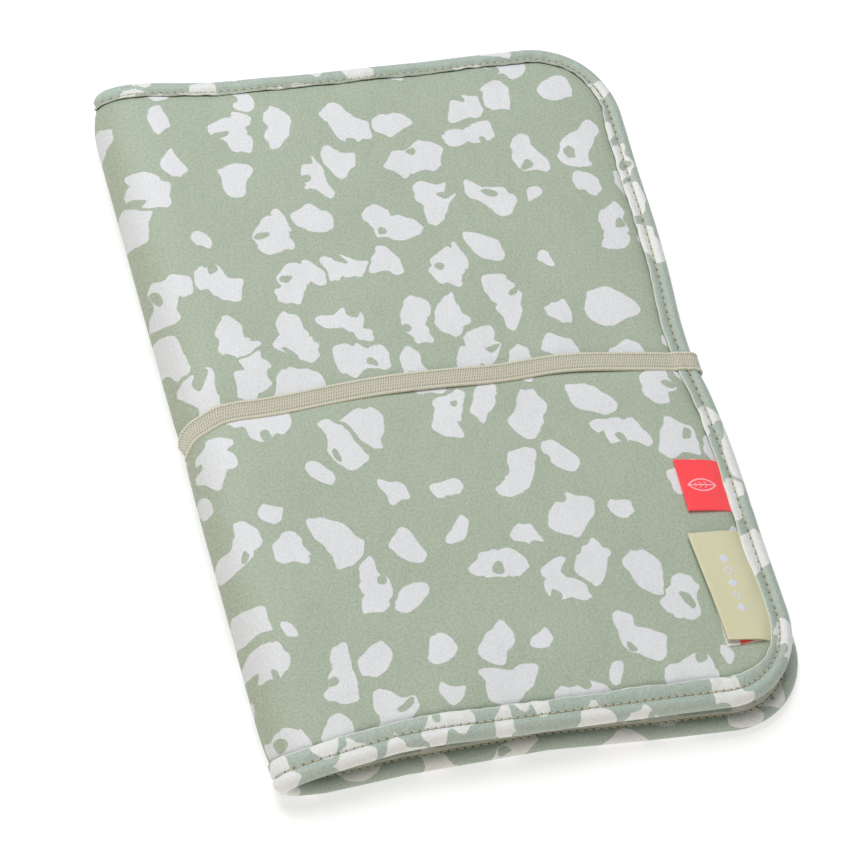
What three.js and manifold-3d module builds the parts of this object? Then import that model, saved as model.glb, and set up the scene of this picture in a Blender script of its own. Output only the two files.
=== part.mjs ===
// A folded changing pad, in millimetres, +Z up.
// Two padded leaves are joined by a soft fold, and an elastic strap goes round the middle.
// +X runs from the fold to the open edge, and Y runs along the fold.
// The origin is at the middle of the underside.

import * as THREE from "three";
import { mergeVertices } from "three/addons/utils/BufferGeometryUtils.js";
import Module from "manifold-3d";

const wasm = await Module();
wasm.setup();

// Overall shape
const LEAF = 5.5; // thickness of a padded leaf
const FOLD_RADIUS = 11; // outside radius of the fold
const FOLD_X = -94.6; // centre of the fold
const FOLD_HEIGHT = 2 * FOLD_RADIUS; // thickness of the folded pad at the fold
const OPEN_HEIGHT = 16.5; // thickness of the folded pad at the open edge
const BACK_LENGTH = 290; // along the fold
const FRONT_LENGTH = 282;
const FOLD_LENGTH = 286;
const BACK_EDGE = 104.4; // open edge of each leaf
const FRONT_EDGE = 101.4;
const HINGE_GAP = 0.7; // between the fold and each leaf
const CORNER_RADIUS = 34;
const SLOPE = (FOLD_HEIGHT - OPEN_HEIGHT) / (FRONT_EDGE - FOLD_X);

// Layers
const BINDING_WIDTH = 9;
const BINDING = 0.6; // thickness of each face of the binding
const BINDING_WALL = 1; // thickness of the folded tape along the edge
const CLOTH = 0.5;
const GAP = 0.15; // between layers that lie on each other
const SIDE_GAP = 0.3; // between the edges of neighbouring pieces

// Elastic strap
const STRAP_WIDTH = 8.2;
const STRAP = 1;
const STRAP_Y = -3; // centre line
const STRAP_CLEARANCE = 0.2; // between the strap and the edges that it goes round

// Labels sewn into the seam on the open side
const LABEL_SEAM = FRONT_EDGE - BINDING_WIDTH;
const CORAL_LABEL = { width: 17.5, y: [-67.5, -46], lift: 0.3, thickness: 0.8 };
const BEIGE_LABEL = { width: 18, y: [-121, -76], lift: 1.3, thickness: 0.8 };
const CARE_LABEL = { width: 16, y: [-122.5, -82], lift: 0.3, thickness: 0.3 };
const SIZE_TAG = { width: 6, y: [-122, -113], lift: 0.8, thickness: 0.3 };

// What the pad holds between its covers
const MAT = { x: [-84, 84], y: [-127, 118], z: [5.8, 8.6], radius: 12 };
const POCKET = { x: [-88, 88], y: [-131, 100], cloth: 0.5, corner: 14, inside: 13.5 };
const POCKET_HEM = { width: 7, thickness: 0.6 };
const MESH_POCKET = { x: [-70, 78], y: [-8, 118], cloth: 0.4, depth: 0.7, rim: 3, hem: 9 };

const CORNER_STEPS = 9; // round a quarter circle
const FOLD_STEPS = 16; // round the fold's half circle
const FAR = 400; // longer than any piece

// Solid modelling

function solid(geometry) {
  const bare = geometry.clone();
  bare.deleteAttribute("normal");
  bare.deleteAttribute("uv");
  const merged = mergeVertices(bare, 1e-4);
  return new wasm.Manifold(
    new wasm.Mesh({
      numProp: 3,
      vertProperties: merged.attributes.position.array,
      triVerts: new Uint32Array(merged.index.array),
    }),
  );
}

function geometryOf(body) {
  const mesh = body.getMesh();
  const geometry = new THREE.BufferGeometry();
  geometry.setAttribute("position", new THREE.BufferAttribute(mesh.vertProperties, 3));
  geometry.setIndex(new THREE.BufferAttribute(mesh.triVerts, 1));
  geometry.computeVertexNormals();
  return geometry;
}

function join(...bodies) {
  return bodies.reduce((all, next) => all.add(next));
}

function cut(body, ...tools) {
  return tools.reduce((rest, tool) => rest.subtract(tool), body);
}

function box([x0, x1], [y0, y1], [z0, z1]) {
  const geometry = new THREE.BoxGeometry(x1 - x0, y1 - y0, z1 - z0);
  geometry.translate((x0 + x1) / 2, (y0 + y1) / 2, (z0 + z1) / 2);
  return solid(geometry);
}

function slab(shape, z0, z1) {
  const settings = { depth: z1 - z0, bevelEnabled: false, curveSegments: CORNER_STEPS };
  const geometry = new THREE.ExtrudeGeometry(shape, settings);
  geometry.translate(0, 0, z0);
  return solid(geometry);
}

// A rectangle whose corners are round, with one radius for the -X side and one for the +X side.
function roundedRectangle([x0, x1], [y0, y1], left, right) {
  const shape = new THREE.Shape();
  shape.moveTo(x0 + left, y0);
  shape.lineTo(x1 - right, y0);
  shape.absarc(x1 - right, y0 + right, right, -Math.PI / 2, 0);
  shape.lineTo(x1, y1 - right);
  shape.absarc(x1 - right, y1 - right, right, 0, Math.PI / 2);
  shape.lineTo(x0 + left, y1);
  if (left > 0) {
    shape.absarc(x0 + left, y1 - left, left, Math.PI / 2, Math.PI);
    shape.lineTo(x0, y0 + left);
    shape.absarc(x0 + left, y0 + left, left, Math.PI, 1.5 * Math.PI);
  }
  return shape;
}

// Leaves. A leaf is drawn flat with its outer face down, at height 0, and its inner face at LEAF.

const LEAF_START = FOLD_X + HINGE_GAP;
const LEDGE = BINDING + GAP; // height where a cloth's margin lies under the binding
const MARGIN = BINDING_WALL + SIDE_GAP; // inset of a cloth's margin
const PANEL = BINDING_WIDTH + SIDE_GAP; // inset of a cloth's raised panel
const FACE = 0.1; // how deep a cloth's panel lies below the binding's face
const FOAM_EDGE = [LEDGE + CLOTH + GAP, LEAF - LEDGE - CLOTH - GAP];
const FOAM_MIDDLE = [FACE + CLOTH + GAP, LEAF - FACE - CLOTH - GAP];
const GROOVE_DEPTH = STRAP + GAP;

// One leaf's plan, moved in from its edges; "open" runs it out past the fold to cut that side away.
function leafSlab(leaf, inset, z0, z1, open = false) {
  const half = leaf.length / 2 - inset;
  const start = open ? LEAF_START - 5 : LEAF_START;
  const plan = roundedRectangle([start, leaf.edge - inset], [-half, half], 0, CORNER_RADIUS - inset);
  return slab(plan, z0, z1);
}

// The band of width round the strap's centre line, which turns over with the front leaf.
function strapBand(halfWidth, side) {
  return [side * STRAP_Y - halfWidth, side * STRAP_Y + halfWidth];
}

function groove(leaf, halfWidth, depth) {
  return box([-FAR, FAR], strapBand(halfWidth, leaf.side), [-1, depth]);
}

const GROOVE_HALF = STRAP_WIDTH / 2 + 0.3;

// The tape folded over the three free edges of a leaf.
function leafBinding(leaf) {
  const tape = cut(
    leafSlab(leaf, 0, 0, LEAF),
    leafSlab(leaf, BINDING_WALL, BINDING, LEAF - BINDING, true),
    leafSlab(leaf, BINDING_WIDTH, -1, LEAF + 1, true),
  );
  return cut(tape, groove(leaf, GROOVE_HALF, GROOVE_DEPTH));
}

// A cloth whose margin is caught in the binding and whose panel stands up to the binding's face.
// It is drawn for the outer face, at height 0.
function leafCloth(leaf) {
  return cut(
    join(
      leafSlab(leaf, MARGIN, LEDGE, LEDGE + CLOTH),
      leafSlab(leaf, PANEL, FACE, LEDGE + CLOTH),
    ),
    leafSlab(leaf, PANEL + CLOTH, FACE + CLOTH, LEAF, true),
  );
}

// The outer cloth, pressed in by the strap.
function leafCover(leaf) {
  const band = strapBand(GROOVE_HALF + CLOTH, leaf.side);
  const bottom = GROOVE_DEPTH + CLOTH;
  const floor = box([LEAF_START, leaf.edge - MARGIN], band, [GROOVE_DEPTH, bottom]);
  const walls = box([LEAF_START, leaf.edge - PANEL], band, [FACE, bottom]);
  return cut(join(leafCloth(leaf), floor, walls), groove(leaf, GROOVE_HALF, GROOVE_DEPTH));
}

// The lining is the same cloth, turned over.
function leafLining(leaf) {
  return leafCloth(leaf).rotate([180, 0, 0]).translate([0, 0, LEAF]);
}

function leafFoam(leaf) {
  const foam = join(
    leafSlab(leaf, MARGIN + SIDE_GAP, ...FOAM_EDGE),
    leafSlab(leaf, PANEL + CLOTH + SIDE_GAP, ...FOAM_MIDDLE),
  );
  return cut(foam, groove(leaf, GROOVE_HALF + CLOTH + GAP, GROOVE_DEPTH + CLOTH + GAP));
}

// The fold: half a tube whose axis runs along Y through (FOLD_X, FOLD_RADIUS).

function halfTube(inner, outer, [y0, y1]) {
  const shape = new THREE.Shape();
  shape.absarc(0, 0, outer, Math.PI / 2, 1.5 * Math.PI);
  shape.absarc(0, 0, inner, 1.5 * Math.PI, Math.PI / 2, true);
  const settings = { depth: y1 - y0, bevelEnabled: false, curveSegments: FOLD_STEPS };
  const geometry = new THREE.ExtrudeGeometry(shape, settings);
  geometry.rotateX(Math.PI / 2);
  geometry.translate(FOLD_X, y1, FOLD_RADIUS);
  return solid(geometry);
}

const FOLD_INNER = FOLD_RADIUS - LEAF;

// A shell of the fold between two depths below its outer face, centred along Y.
function foldShell(depth0, depth1, inset) {
  const half = FOLD_LENGTH / 2 - inset;
  return halfTube(FOLD_RADIUS - depth1, FOLD_RADIUS - depth0, [-half, half]);
}

function foldGroove(halfWidth, depth) {
  return halfTube(FOLD_RADIUS - depth, FOLD_RADIUS + 1, strapBand(halfWidth, 1));
}

function foldCover() {
  const cloth = cut(
    join(foldShell(LEDGE, LEDGE + CLOTH, MARGIN), foldShell(FACE, LEDGE + CLOTH, PANEL)),
    foldShell(FACE + CLOTH, LEAF, PANEL + CLOTH),
  );
  const trough = halfTube(
    FOLD_RADIUS - GROOVE_DEPTH - CLOTH,
    FOLD_RADIUS - FACE,
    strapBand(GROOVE_HALF + CLOTH, 1),
  );
  return cut(join(cloth, trough), foldGroove(GROOVE_HALF, GROOVE_DEPTH));
}

function foldFoam() {
  const foam = join(
    foldShell(...FOAM_EDGE, MARGIN + SIDE_GAP),
    foldShell(...FOAM_MIDDLE, PANEL + CLOTH + SIDE_GAP),
  );
  return cut(foam, foldGroove(GROOVE_HALF + CLOTH + GAP, GROOVE_DEPTH + CLOTH + GAP));
}

function foldLining() {
  return cut(
    join(
      foldShell(LEAF - LEDGE - CLOTH, LEAF - LEDGE, MARGIN),
      foldShell(LEAF - LEDGE - CLOTH, LEAF - FACE, PANEL),
    ),
    foldShell(0, LEAF - FACE - CLOTH, PANEL + CLOTH),
  );
}

// The binding's turn round one end of the fold; side is +1 at the +Y end and -1 at the -Y end.
function foldBinding(side) {
  const end = FOLD_LENGTH / 2;
  const span = (from, to) => [side * from, side * to].sort((a, b) => a - b);
  return cut(
    halfTube(FOLD_INNER, FOLD_RADIUS, span(end - BINDING_WIDTH, end)),
    halfTube(
      FOLD_INNER + BINDING,
      FOLD_RADIUS - BINDING,
      span(end - BINDING_WIDTH - 1, end - BINDING_WALL),
    ),
  );
}

// Placing the front leaf: turned over, level with the top of the fold, sloping to the open edge.

const FRONT_LEAN = new THREE.Matrix4().set(
  1, 0, 0, 0,
  0, 1, 0, 0,
  -SLOPE, 0, 1, SLOPE * FOLD_X,
  0, 0, 0, 1,
);

function onFrontLeaf(body) {
  const turned = body.rotate([180, 0, 0]).translate([0, 0, FOLD_HEIGHT]);
  return solid(geometryOf(turned).applyMatrix4(FRONT_LEAN));
}

// Height of the front leaf's outer face at x.
function frontHeight(x) {
  return FOLD_HEIGHT - SLOPE * (x - FOLD_X);
}

// A flat piece lying over the front leaf's outer face, following its slope.
function overFront([x0, x1], [y0, y1], lift, thickness) {
  const shape = new THREE.Shape();
  shape.moveTo(x0, frontHeight(x0) + lift);
  shape.lineTo(x1, frontHeight(x1) + lift);
  shape.lineTo(x1, frontHeight(x1) + lift + thickness);
  shape.lineTo(x0, frontHeight(x0) + lift + thickness);
  return alongY(shape, [y0, y1]);
}

// A closed outline in X and Z, drawn anticlockwise and run along Y.
function alongY(shape, [y0, y1]) {
  const geometry = new THREE.ExtrudeGeometry(shape, { depth: y1 - y0, bevelEnabled: false });
  geometry.rotateX(Math.PI / 2);
  geometry.translate(0, y1, 0);
  return solid(geometry);
}

// Elastic strap, in four runs that share one band round the pad

const STRAP_SPAN = strapBand(STRAP_WIDTH / 2, 1);

function strapBack() {
  return box([LEAF_START, BACK_EDGE], STRAP_SPAN, [0, STRAP]);
}

function strapFold() {
  return halfTube(FOLD_RADIUS - STRAP, FOLD_RADIUS, STRAP_SPAN);
}

function strapFront() {
  return overFront([LEAF_START, FRONT_EDGE], STRAP_SPAN, -STRAP, STRAP);
}

// The run down the open side: straight past the back leaf's edge, then leaning in to the front leaf's.
function strapEnd() {
  const top = frontHeight(FRONT_EDGE);
  const low = BACK_EDGE + STRAP_CLEARANCE;
  const high = FRONT_EDGE + STRAP_CLEARANCE;
  const knee = LEAF + STRAP_CLEARANCE;
  const shape = new THREE.Shape();
  shape.moveTo(low, 0);
  shape.lineTo(low + STRAP, 0);
  shape.lineTo(low + STRAP, knee);
  shape.lineTo(high + STRAP, top);
  shape.lineTo(high, top);
  shape.lineTo(low, knee);
  return alongY(shape, STRAP_SPAN);
}

function label({ width, y, lift, thickness }) {
  return overFront([LABEL_SEAM - width, LABEL_SEAM], y, lift, thickness);
}

// Slip pocket on the back leaf: an upper cloth with walls on three sides, open at +Y.
function slipPocket() {
  const { x, y, cloth, corner, inside } = POCKET;
  const base = LEAF + GAP;
  const roof = MAT.z[1] + GAP;
  const outline = slab(roundedRectangle(x, [y[0], y[1] + FAR], corner, corner), base, roof + cloth);
  const inner = [
    [x[0] + cloth, x[1] - cloth],
    [y[0] + cloth, y[1] + FAR],
  ];
  const hollow = slab(roundedRectangle(...inner, inside, inside), base - 1, roof);
  return cut(outline, hollow, box([-FAR, FAR], [y[1], 2 * FAR], [-1, FAR]));
}

function slipPocketHem() {
  const base = MAT.z[1] + 2 * GAP + POCKET.cloth;
  const [, mouth] = POCKET.y;
  return box(POCKET.x, [mouth - POCKET_HEM.width, mouth], [base, base + POCKET_HEM.thickness]);
}

// A thin cover that folds out to the full lying surface, kept in the slip pocket.
function foldedMat() {
  return slab(roundedRectangle(MAT.x, MAT.y, MAT.radius, MAT.radius), ...MAT.z);
}

// Mesh pocket on the front leaf's inner face, drawn like a leaf with the outer face at height 0.
// It opens towards the pad's +Y end, which is -Y before the leaf is turned over.
function meshPocket() {
  const base = LEAF + GAP;
  const { x, y, rim, cloth, depth } = MESH_POCKET;
  const outline = roundedRectangle(x, y, 4, 4);
  const inner = roundedRectangle([x[0] + rim, x[1] - rim], [y[0] - 20, y[1] - rim], 4, 4);
  return cut(slab(outline, base, base + depth), slab(inner, base - 1, base + depth - cloth));
}

function meshPocketHem() {
  const { x, y, hem, cloth, depth } = MESH_POCKET;
  const base = LEAF + 2 * GAP + depth;
  return box(x, [y[0], y[0] + hem], [base, base + cloth]);
}

// Colours and finishes

function finish(color, roughness) {
  return new THREE.MeshStandardMaterial({ color, roughness, metalness: 0 });
}

const coverCloth = finish(0xaab6a0, 0.55);
const bindingTape = finish(0xacbeb2, 0.5);
const foamFill = finish(0xf2f0e6, 0.95);
const liningCloth = finish(0xe9e7df, 0.7);
const netting = finish(0xd8d8cf, 0.8);
const matCloth = finish(0xe3e4dc, 0.6);
const strapElastic = finish(0xbeb8a0, 0.85);
const coralCloth = finish(0xfa5050, 0.6);
const beigeSatin = finish(0xd1caa5, 0.45);
const whiteTape = finish(0xf4f2ee, 0.6);

// The assembly

const BACK = { length: BACK_LENGTH, edge: BACK_EDGE, side: 1 };
const FRONT = { length: FRONT_LENGTH, edge: FRONT_EDGE, side: -1 };

const pad = new THREE.Group();
pad.name = "changing_pad";

function place(name, body, material) {
  const mesh = new THREE.Mesh(geometryOf(body), material);
  mesh.name = name;
  pad.add(mesh);
}

place("back_cover", leafCover(BACK), coverCloth);
place("back_foam", leafFoam(BACK), foamFill);
place("back_lining", leafLining(BACK), liningCloth);
place("back_binding", leafBinding(BACK), bindingTape);

place("front_cover", onFrontLeaf(leafCover(FRONT)), coverCloth);
place("front_foam", onFrontLeaf(leafFoam(FRONT)), foamFill);
place("front_lining", onFrontLeaf(leafLining(FRONT)), liningCloth);
place("front_binding", onFrontLeaf(leafBinding(FRONT)), bindingTape);

place("fold_cover", foldCover(), coverCloth);
place("fold_foam", foldFoam(), foamFill);
place("fold_lining", foldLining(), liningCloth);
place("fold_binding_top", foldBinding(1), bindingTape);
place("fold_binding_bottom", foldBinding(-1), bindingTape);

place("strap_back", strapBack(), strapElastic);
place("strap_fold", strapFold(), strapElastic);
place("strap_front", strapFront(), strapElastic);
place("strap_end", strapEnd(), strapElastic);

place("coral_label", label(CORAL_LABEL), coralCloth);
place("beige_label", label(BEIGE_LABEL), beigeSatin);
place("care_label", label(CARE_LABEL), whiteTape);
place("size_tag", label(SIZE_TAG), coralCloth);

place("slip_pocket", slipPocket(), liningCloth);
place("slip_pocket_hem", slipPocketHem(), bindingTape);
place("folded_mat", foldedMat(), matCloth);
place("mesh_pocket", onFrontLeaf(meshPocket()), netting);
place("mesh_pocket_hem", onFrontLeaf(meshPocketHem()), bindingTape);

export default pad;
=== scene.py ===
"""The looks of a folded changing pad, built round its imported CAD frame.

Shapes are worked out in millimetres and turned into metres when a mesh is made.
A point of a leaf is given by (s, t, h): s is the way along the leaf's middle layer from
the outermost line of the fold, t is the way along the fold, and h is the height over
the middle layer, towards the outside of the pad.
"""

import math

import bmesh
import bpy
import numpy as np
from mathutils import Matrix, Vector


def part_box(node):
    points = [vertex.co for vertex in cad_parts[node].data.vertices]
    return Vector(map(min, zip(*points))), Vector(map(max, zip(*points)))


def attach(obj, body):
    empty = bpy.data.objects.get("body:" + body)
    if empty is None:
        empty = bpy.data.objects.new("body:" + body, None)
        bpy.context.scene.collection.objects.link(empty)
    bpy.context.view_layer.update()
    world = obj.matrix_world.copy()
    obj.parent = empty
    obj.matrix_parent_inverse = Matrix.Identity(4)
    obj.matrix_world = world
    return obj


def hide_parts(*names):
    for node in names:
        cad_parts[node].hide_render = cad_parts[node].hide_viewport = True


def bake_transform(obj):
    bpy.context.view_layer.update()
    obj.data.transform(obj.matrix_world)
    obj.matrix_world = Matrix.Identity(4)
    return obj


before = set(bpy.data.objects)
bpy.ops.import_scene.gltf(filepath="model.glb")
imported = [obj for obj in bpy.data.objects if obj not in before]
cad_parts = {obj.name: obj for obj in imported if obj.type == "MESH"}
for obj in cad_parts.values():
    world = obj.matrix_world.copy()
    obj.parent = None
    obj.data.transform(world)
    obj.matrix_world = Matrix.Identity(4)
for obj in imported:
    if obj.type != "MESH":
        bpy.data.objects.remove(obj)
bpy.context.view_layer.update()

MM = 0.001


def box_mm(node):
    low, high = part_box(node)
    return np.array(low) / MM, np.array(high) / MM


# ---------------------------------------------------------------- sizes from the frame

back_low, back_high = box_mm("back_binding")
_, front_high = box_mm("front_binding")
fold_low, fold_high = box_mm("fold_binding_top")

FOLD_LEFT = fold_low[0]
FOLD_TOP = fold_high[2]
FOLD_HALF = fold_high[1]
BACK_EDGE = back_high[0]
FRONT_EDGE = front_high[0]
BACK_HALF = back_high[1]
FRONT_HALF = front_high[1]
LEAF = back_high[2] - back_low[2]
OPEN_TOP = box_mm("strap_end")[1][2]
STRAP_Y = float(np.mean([box_mm("strap_front")[0][1], box_mm("strap_front")[1][1]]))

# ---------------------------------------------------------------- sizes of the soft parts

HALF_LEAF = LEAF / 2
CORNER_RADIUS = 34.0
BINDING_WIDTH = 9.0
STITCH_INSET = 5.5
STITCH_PITCH = 3.1
FOLD_REACH = 22.0  # how far the outer cloth takes to turn into the fold
CLOTH = 0.5
PUFF = 1.3  # how far the padding stands proud of the seam
STRAP_WIDTH = 7.8
STRAP_THICKNESS = 1.1
STRAP_LIFT = 0.2  # extra room over the strap where it runs under the back leaf
COVER_INSET = 5.0  # from the leaf's edge to the cover's, hidden under the binding
LINING_INSET = 6.0
COVER_LOWEST = 0.6  # the back cover's height over the floor
TAPE_LOWEST = 0.12
SLOPE = (FOLD_TOP - OPEN_TOP) / (FRONT_EDGE - FOLD_LEFT)

# ---------------------------------------------------------------- small maths


def smooth(low, high, value):
    x = np.clip((np.asarray(value, float) - low) / (high - low), 0.0, 1.0)
    return x * x * (3 - 2 * x)


def bump(value, centre, width):
    return np.exp(-(((np.asarray(value, float) - centre) / width) ** 2))


def waves(x, y, wavelength, seed, count=7):
    """A smooth random height from -1 to 1, with features of about one wavelength."""
    random = np.random.default_rng(seed)
    total = 0.0
    for _ in range(count):
        angle = random.uniform(0, 2 * math.pi)
        size = 2 * math.pi / (wavelength * random.uniform(0.75, 1.4))
        phase = random.uniform(0, 2 * math.pi)
        total = total + np.sin(size * (math.cos(angle) * x + math.sin(angle) * y) + phase)
    return total / math.sqrt(2 * count)


def way_along(points):
    """How far along a polyline each of its points lies."""
    steps = np.linalg.norm(np.diff(points, axis=0), axis=1)
    return np.concatenate([[0], np.cumsum(steps)])


def unit(vectors):
    return vectors / np.linalg.norm(vectors, axis=1)[:, None]


def doubled(uv):
    """The same print coordinates for both faces of a shell."""
    return np.concatenate([uv, uv])


def resample(points, spacing):
    """Points at even spacing along a polyline."""
    points = np.asarray(points, float)
    way = way_along(points)
    count = max(2, int(round(way[-1] / spacing)) + 1)
    at = np.linspace(0, way[-1], count)
    return np.stack([np.interp(at, way, points[:, i]) for i in range(points.shape[1])], 1)


def relax(points, rounds):
    """Rounds off a polyline, keeping its ends."""
    points = np.array(points, float)
    for _ in range(rounds):
        points[1:-1] = 0.5 * points[1:-1] + 0.25 * (points[:-2] + points[2:])
    return points


def strap_line(s):
    """The strap's centre, along Y, at a way s from the fold; it bows a little."""
    ways = [0, 5, 13, 30, 46, 60, 75, 95, 110, 124, 133, 141, 150, 158, 165, 180, 196, 206, 213, 240]
    centres = [-9.5, -3.2, -0.6, -1.6, -0.5, 0.7, 1.4, 1.2, 0.6, 0.0,
               0.5, 1.3, 1.5, 0.9, 0.1, -1.7, -3.3, -4.8, -6.0, -7.6]
    reach = np.minimum(np.asarray(s, float), 9.0)
    return np.mean([np.interp(s + k * reach, ways, centres) for k in (-1, -0.5, 0, 0.5, 1)], axis=0)


# ---------------------------------------------------------------- the shape of a leaf


class Leaf:
    """One padded leaf with its half of the fold. side is +1 for the front leaf, above."""

    def __init__(self, side, edge, half):
        self.side = side
        self.half = half
        angles = np.linspace(0, math.pi / 2, 400)
        reach = FOLD_REACH - HALF_LEAF
        rise = FOLD_TOP / 2 - HALF_LEAF
        x = FOLD_LEFT + HALF_LEAF + reach * (1 - np.cos(angles))
        z = rise * np.sin(angles)
        steps = np.hypot(np.diff(x), np.diff(z))
        self.arc_s = np.concatenate([[0], np.cumsum(steps)])
        self.arc = np.stack([x, z], 1)
        self.arc_normal = unit(np.stack([-np.gradient(z), np.gradient(x)], 1))
        self.turn = self.arc_s[-1]
        self.length = self.turn + edge - x[-1]
        self.start = x[-1]

    def inset(self, s, t):
        """Distance inward from the leaf's outer edge; the fold's side isn't an edge."""
        s, t = np.asarray(s, float), np.abs(np.asarray(t, float))
        a = s - (self.length - CORNER_RADIUS)
        b = t - (self.half - CORNER_RADIUS)
        straight = np.minimum(self.length - s, self.half - t)
        corner = CORNER_RADIUS - np.hypot(a, b)
        return np.where((a > 0) & (b > 0), corner, straight)

    def place(self, s, t, h, lowest=None):
        """The point in space of (s, t, h)."""
        s, t, h = np.broadcast_arrays(*(np.asarray(v, float) for v in (s, t, h)))
        if lowest is not None:
            # The strap runs under the back leaf and lifts it by its own thickness.
            over = smooth(8, 4.5, np.abs(t - strap_line(s)))
            lowest = lowest + over * (STRAP_THICKNESS + STRAP_LIFT)
        on_arc = np.minimum(s, self.turn)
        x = np.interp(on_arc, self.arc_s, self.arc[:, 0])
        z = np.interp(on_arc, self.arc_s, self.arc[:, 1])
        nx = np.interp(on_arc, self.arc_s, self.arc_normal[:, 0])
        nz = np.interp(on_arc, self.arc_s, self.arc_normal[:, 1])
        size = np.hypot(nx, nz)
        x = x + np.maximum(s - self.turn, 0) + h * nx / size
        z = z + h * nz / size
        # The leaf's ends differ a little in length from the fold's.
        near_fold = 1 - smooth(0, 60, s)
        y = t * (1 + near_fold * (FOLD_HALF / self.half - 1))
        x, y, z = self.settle(s, t, h, x, y, z, near_fold)
        if lowest is not None:
            z = np.maximum(z, lowest)
        return np.stack([x, y, z], -1)

    def settle(self, s, t, h, x, y, z, near_fold):
        """How the sewn pad really lies: flattened fold ends, uneven edges, soft waves."""
        low_end = smooth(70, 140, -t)
        high_end = smooth(85, 140, t)
        to_fold = 1 - smooth(10, 75, s)
        press = bump(t, STRAP_Y, 12) * (1 - smooth(25, 60, s))
        shrink = 1 - to_fold * (0.17 * low_end + 0.07 * high_end) - 0.05 * press
        height = FOLD_TOP / 2
        if self.side > 0:
            tilt = SLOPE * np.maximum(x - self.start, 0)
            z = height * shrink + z * shrink - tilt
            z = z + self.top_waves(s, t)
        else:
            z = height * shrink - z * shrink
            z = z + self.corner_lift(s, t, h)
        tuck = bump(t, STRAP_Y + 10, 27) * smooth(60, 200, s)
        if self.side > 0:
            x = x - 3.2 * tuck + 2.2 * smooth(60, 140, t) * smooth(60, 200, s)
        else:
            x = x - 4.6 * bump(t, STRAP_Y, 22) * smooth(60, 200, s)
            x = x + 1.8 * smooth(85, 128, -t) * smooth(150, 205, s)
        # The fold's ends are drawn in where the binding turns round them.
        drawn_in = 3.8 * smooth(118, 146, t) * (1 - 0.7 * smooth(2, -5, h))
        x = x + (drawn_in + 0.4 * smooth(112, 146, -t)) * near_fold
        y = y + self.edge_drift(s, t)
        return x, y, z

    def top_waves(self, s, t):
        inside = smooth(0, 35, s)
        sag = -0.9 * inside * bump(s, 150, 60) * bump(t, 60, 70)
        slow = 0.45 * waves(s, t, 95, 11) + 0.22 * waves(s, t, 38, 12)
        lip = 0.8 * smooth(150, 225, s) * smooth(70, 140, -t)
        return inside * slow + sag + lip

    def corner_lift(self, s, t, h):
        """The open corners turn up a little; the inner face under the mat stays level."""
        out = smooth(120, 215, s)
        level = 1 - smooth(0.5, -2.0, h)
        return out * (0.5 * smooth(90, 145, -t) + 0.8 * smooth(90, 145, t) * level)

    def edge_drift(self, s, t):
        """How far an end edge lies from its nominal line, fading to the middle."""
        x = s + FOLD_LEFT
        if self.side > 0:
            low = np.interp(x, [-105, -60, -45, -13, 24, 46, 75, 110],
                            [-2.4, 0.4, 0.2, -0.9, -1.7, -2.4, -3.6, -4.4])
            high = np.interp(x, [-105, -88, -60, -30, 30, 75, 110],
                             [1.8, 0.6, -1.4, -1.9, -1.2, 0.0, 0.6])
        else:
            low = np.interp(x, [-105, -85, -55, 0, 38, 80, 110],
                            [-2.4, -1.8, 1.0, 1.2, -1.8, -4.4, -5.2])
            high = np.interp(x, [-105, -80, 110], [1.8, 0.0, 0.0])
        return low * smooth(20, 141, -t) + high * smooth(20, 141, t)


front = Leaf(+1, FRONT_EDGE, FRONT_HALF)
back = Leaf(-1, BACK_EDGE, BACK_HALF)


def bend(piece):
    """Bakes the piece's transform into its mesh; the piece is tied to no body here."""
    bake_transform(piece)


# ---------------------------------------------------------------- mesh building


def make_object(name, points, faces, material, uv=None, seam=None, crisp_from=None):
    mesh = bpy.data.meshes.new(name)
    mesh.from_pydata((np.asarray(points, float).reshape(-1, 3) * MM).tolist(), [], faces)
    mesh.validate()
    corners = np.zeros(len(mesh.loops), np.int32)
    mesh.loops.foreach_get("vertex_index", corners)
    for layer_name, values in (("cloth", uv), ("seam", seam)):
        if values is None:
            continue
        layer = mesh.uv_layers.new(name=layer_name)
        layer.data.foreach_set("uv", np.asarray(values, np.float32).reshape(-1, 2)[corners].ravel())
    mesh.polygons.foreach_set("use_smooth", [True] * len(mesh.polygons))
    if crisp_from is not None:
        keep_crisp(mesh, crisp_from)
    mesh.materials.append(material)
    piece = bpy.data.objects.new(name, mesh)
    bpy.context.scene.collection.objects.link(piece)
    turn_outward(mesh)
    return piece


def keep_crisp(mesh, first):
    """Faces from the given one on are flat, with sharp edges: cut ends and raw edges."""
    edges = {edge.key: edge for edge in mesh.edges}
    for face in mesh.polygons[first:]:
        face.use_smooth = False
        for key in face.edge_keys:
            edges[key].use_edge_sharp = True


def turn_outward(mesh):
    """Turns a closed mesh's faces round if they point inward."""
    work = bmesh.new()
    work.from_mesh(mesh)
    bmesh.ops.recalc_face_normals(work, faces=work.faces)
    if work.calc_volume(signed=True) < 0:
        bmesh.ops.reverse_faces(work, faces=work.faces)
    work.to_mesh(mesh)
    work.free()


def grid_faces(rows, columns, first=0, around=False):
    faces = []
    for r in range(rows - 1):
        for c in range(columns if around else columns - 1):
            d = (c + 1) % columns
            a, b = first + r * columns, first + (r + 1) * columns
            faces.append((a + c, a + d, b + d, b + c))
    return faces


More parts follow.
